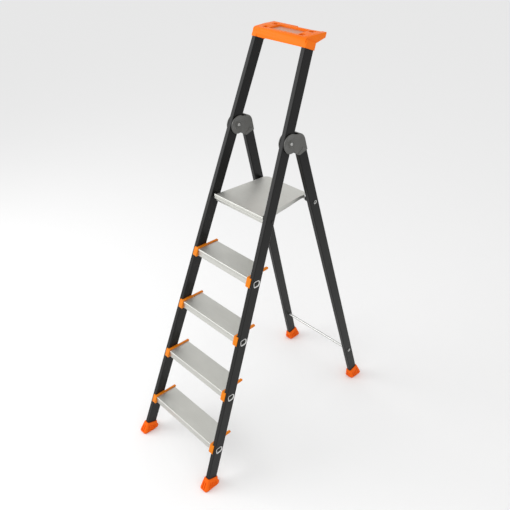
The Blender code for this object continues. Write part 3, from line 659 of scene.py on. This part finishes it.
def foot_slot_cutters(width, depth, back, where, floor_at):
    """Wedges that sink upright slots into a foot's four faces, following their slope."""
    pitch = sizes().foot_slot / MM
    faces = (("inset", -1, 0.0, back, depth), ("inset", 1, width, back, depth),
             ("depth", -1, back, 0.0, width), ("depth", 1, back + depth, 0.0, width))
    cutters = []
    for axis, way, plane, start, run in faces:
        count = max(2, int(run / pitch))
        for k in range(count):
            w = start + run / 2 + (k - (count - 1) / 2) * pitch
            low = floor_at(SLOT_LOW, w if axis == "inset" else plane + way * SLOT_LOW)
            wedge = [(FLARE_LOW - SLOT_DEEP, low), (FLARE_LOW + SLOT_PAST, low),
                     (FLARE_HIGH + SLOT_PAST, SLOT_HIGH), (FLARE_HIGH - SLOT_DEEP, SLOT_HIGH)]
            bm = slab(wedge, w - SLOT_HALF, w + SLOT_HALF)
            out, along = (way, 0, 0, plane), (0, 0, 1, 0)
            turn = [out, along] if axis == "inset" else [along, out]
            bm.transform(where @ Matrix(turn + [(0, 1, 0, 0), (0, 0, 0, 1)]))
            cutters.append(bm)
    return join(*cutters)


def build_foot(node, body, where, width, depth, back, floor_at):
    """Flared foot with upright slots moulded into its faces."""
    cutters = foot_slot_cutters(width, depth, back, where, floor_at)
    bm = cut_away(merged_copy(node), cutters)
    add_piece(node + "_boot", bm, "foot", body, (node,), edge=sizes().moulded_round * 0.4, segments=2)


# ---------------------------------------------------------------- stage
FLOOR_HALF, FLOOR_TONE = 30.0, (0.8, 0.8, 0.8)   # metres from its middle to its edge; linear
SURROUND = 1.0                                   # radiance of the studio's pale walls
SOFTBOX = 2.4                                    # metres square; large and weak, so bare metal keeps its tone
SOFTBOXES = (("key_softbox", (-1.95, -2.2, 2.15), (0.0, 0.0, 1.3), 3.0),    # place, target, radiance
             ("fill_softbox", (1.9, -2.6, 2.4), (0.0, 0.0, 1.0), 1.0))
LENS, CAMERA_AT, CAMERA_TURN = 42.91, (1.6006, -1.55476, 2.2803), (57.76, 0.0, 46.03)


def set_floor(scene):
    """Plain pale floor."""
    bm = bmesh.new()
    bmesh.ops.create_grid(bm, x_segments=1, y_segments=1, size=FLOOR_HALF)
    floor = bpy.data.objects.new("floor", mesh_of(bm, "floor"))
    scene.collection.objects.link(floor)
    floor.data.materials.append(start_material("pale_floor", FLOOR_TONE, Roughness=0.9,
                                               Specular_IOR_Level=0.0)[0])


def softbox(scene, name, place_at, target, radiance):
    """Square soft light of this radiance, turned to a target."""
    light = bpy.data.lights.new(name, "AREA")
    light.shape = "SQUARE"
    light.size = SOFTBOX
    light.energy = radiance * math.pi * SOFTBOX ** 2
    box = bpy.data.objects.new(name, light)
    scene.collection.objects.link(box)
    box.location = place_at
    box.rotation_euler = (Vector(target) - box.location).to_track_quat("-Z", "Y").to_euler()


# ---------------------------------------------------------------- operators
class LadderStep:
    bl_options = {"REGISTER", "UNDO"}


class FinishTubes(LadderStep, bpy.types.Operator):
    """Anodise the stiles and legs and give the cross tubes bright aluminium darkened by painted shade"""
    bl_idname = "ladder.finish_tubes"
    bl_label = "Finish tubes"

    def execute(self, context):
        for _, label in SIDES:
            dress("front_stile_" + label, "stile")
            dress("rear_leg_" + label, "leg")
        for node in ("platform_rest_tube", "rear_brace_tube"):
            dress(node, "tube")
        return {"FINISHED"}


class FinishFittings(LadderStep, bpy.types.Operator):
    """Finish the rivets, pins, bushes, sleeves and the tray's insert"""
    bl_idname = "ladder.finish_fittings"
    bl_label = "Finish fittings"

    def execute(self, context):
        for _, label in SIDES:
            dress("hinge_rivet_" + label, "zinc")
            dress("cover_rivet_" + label, "grey")
            for node in ("platform_pin_", "platform_bush_", "rest_sleeve_"):
                dress(node + label, "trim")
        dress("tray_magnet_plate", "insert")
        return {"FINISHED"}


class BuildTreads(LadderStep, bpy.types.Operator):
    """Build the four treads with their ribs, lips and flared tube ends"""
    bl_idname = "ladder.build_treads"
    bl_label = "Build treads"

    def execute(self, context):
        for index in TREADS:
            build_tread(index)
        return {"FINISHED"}


class BuildTreadCaps(LadderStep, bpy.types.Operator):
    """Build the moulded caps at both ends of each tread"""
    bl_idname = "ladder.build_tread_caps"
    bl_label = "Build tread caps"

    def execute(self, context):
        for index in TREADS:
            for _, label in SIDES:
                node = "tread_cap_%d_%s" % (index, label)
                add_piece(node + "_moulding", merged_copy(node), "cap", "front_frame", (node,),
                          edge=sizes().moulded_round)
        return {"FINISHED"}


class BuildPlatform(LadderStep, bpy.types.Operator):
    """Build the pressed platform and the nosing on its front edge"""
    bl_idname = "ladder.build_platform"
    bl_label = "Build platform"

    def execute(self, context):
        build_platform()
        return {"FINISHED"}


class BuildJointCovers(LadderStep, bpy.types.Operator):
    """Build the two-part covers over the folding joints"""
    bl_idname = "ladder.build_joint_covers"
    bl_label = "Build joint covers"

    def execute(self, context):
        for side, label in SIDES:
            build_cover(side, label)
        return {"FINISHED"}


class BuildFeet(LadderStep, bpy.types.Operator):
    """Build the four slotted feet"""
    bl_idname = "ladder.build_feet"
    bl_label = "Build feet"

    def execute(self, context):
        for side, label in SIDES:
            build_foot("front_foot_" + label, "front_frame", along_stile(side), STILE_W, STILE_D, 0.0,
                       lambda z, d: (z + d * SIN_T) / COS_T)
            build_foot("rear_foot_" + label, "rear_frame", along_leg(side), LEG_W, LEG_D, -LEG_D / 2,
                       lambda z, d: (z - d * SIN_S) / COS_S)
        return {"FINISHED"}


class BuildTray(LadderStep, bpy.types.Operator):
    """Build the moulded tool tray"""
    bl_idname = "ladder.build_tray"
    bl_label = "Build tray"

    def execute(self, context):
        add_piece("tool_tray_moulding", merged_copy("tool_tray"), "orange", "front_frame", ("tool_tray",),
                  edge=sizes().moulded_round)
        return {"FINISHED"}


class SetStage(LadderStep, bpy.types.Operator):
    """Set the pale floor, the soft studio light and the camera"""
    bl_idname = "ladder.set_stage"
    bl_label = "Set stage"

    def execute(self, context):
        scene = context.scene
        scene.view_settings.view_transform = "Standard"
        set_floor(scene)
        world = bpy.data.worlds.new("studio")
        scene.world = world
        world.use_nodes = True
        world.node_tree.nodes["Background"].inputs["Color"].default_value = (1, 1, 1, 1)
        world.node_tree.nodes["Background"].inputs["Strength"].default_value = SURROUND
        for name, place_at, target, radiance in SOFTBOXES:
            softbox(scene, name, place_at, target, radiance)
        lens = bpy.data.cameras.new("camera")
        lens.lens, lens.sensor_width = LENS, 36.0
        camera = bpy.data.objects.new("camera", lens)
        camera.location = CAMERA_AT
        camera.rotation_euler = [math.radians(angle) for angle in CAMERA_TURN]
        scene.collection.objects.link(camera)
        scene.camera = camera
        return {"FINISHED"}


STEPS = (FinishTubes, FinishFittings, BuildTreads, BuildTreadCaps, BuildPlatform, BuildJointCovers,
         BuildFeet, BuildTray, SetStage)


class LadderPanel(bpy.types.Panel):
    """Buttons for each step of the ladder's looks, with its sizes and colours"""
    bl_idname = "VIEW3D_PT_ladder"
    bl_label = "Step ladder"
    bl_space_type = "VIEW_3D"
    bl_region_type = "UI"
    bl_category = "Ladder"

    def draw(self, context):
        for step in STEPS:
            self.layout.operator(step.bl_idname)
        for group in (context.scene.ladder_sizes, context.scene.ladder_colours):
            for key in group.__annotations__:
                self.layout.prop(group, key)


CLASSES = (LadderColours, LadderSizes) + STEPS + (LadderPanel,)


def register():
    for cls in CLASSES:
        bpy.utils.register_class(cls)
    bpy.types.Scene.ladder_colours = PointerProperty(type=LadderColours)
    bpy.types.Scene.ladder_sizes = PointerProperty(type=LadderSizes)


def unregister():
    del bpy.types.Scene.ladder_colours
    del bpy.types.Scene.ladder_sizes
    for cls in reversed(CLASSES):
        bpy.utils.unregister_class(cls)


def main():
    register()
    for step in STEPS:
        group, name = step.bl_idname.split(".")
        getattr(getattr(bpy.ops, group), name)()


if __name__ == "__main__":
    main()
